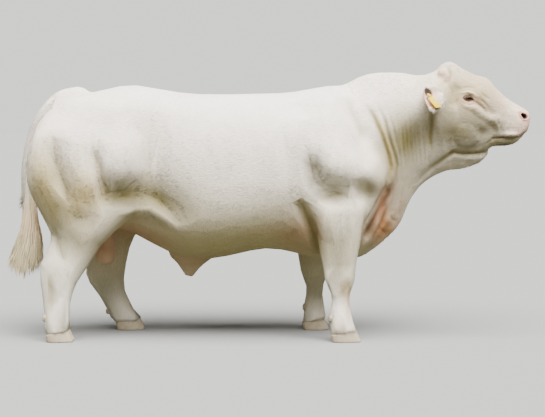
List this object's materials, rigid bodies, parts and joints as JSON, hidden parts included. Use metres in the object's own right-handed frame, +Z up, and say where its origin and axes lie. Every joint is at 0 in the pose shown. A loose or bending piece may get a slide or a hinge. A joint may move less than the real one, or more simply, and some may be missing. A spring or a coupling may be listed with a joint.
{
  "type": "bull",
  "caption": "Standing polled white bull, a still life-size model: deep heavy trunk, raised head, hanging ears, hanging tail with a full switch, split hooves and a blank ear tag.",
  "frame": {"origin": "on the ground, midway between the muzzle and the tail's switch and midway between the two sides", "axes": "+X forwards, from the tail to the muzzle; +Y to the bull's left; +Z up"},
  "size_m": [2.9934, 0.8412, 1.5627],
  "materials": {
    "coat": "short soft hair, matt",
    "switch_hair": "long coarse hair, matt",
    "bare_skin": "thinly haired skin, satin",
    "hoof_horn": "worn horn, satin",
    "eye": "wet gloss",
    "tag": "satin, blank"
  },
  "bodies": {
    "root": {"torso": "coat", "neck": "coat", "head": "coat", "right_ear": "coat", "left_ear": "coat", "tail": "coat", "tail_switch": "switch_hair", "right_fore_leg": "coat", "left_fore_leg": "coat", "right_hind_leg": "coat", "left_hind_leg": "coat", "sheath": "bare_skin", "scrotum": "bare_skin", "right_eye": "eye", "left_eye": "eye", "ear_tag": "tag", "right_fore_outer_claw": "hoof_horn", "right_fore_inner_claw": "hoof_horn", "left_fore_outer_claw": "hoof_horn", "left_fore_inner_claw": "hoof_horn", "right_hind_outer_claw": "hoof_horn", "right_hind_inner_claw": "hoof_horn", "left_hind_outer_claw": "hoof_horn", "left_hind_inner_claw": "hoof_horn", "right_fore_outer_dewclaw": "hoof_horn", "right_fore_inner_dewclaw": "hoof_horn", "left_fore_outer_dewclaw": "hoof_horn", "left_fore_inner_dewclaw": "hoof_horn", "right_hind_outer_dewclaw": "hoof_horn", "right_hind_inner_dewclaw": "hoof_horn", "left_hind_outer_dewclaw": "hoof_horn", "left_hind_inner_dewclaw": "hoof_horn"}
  },
  "joints": []
}
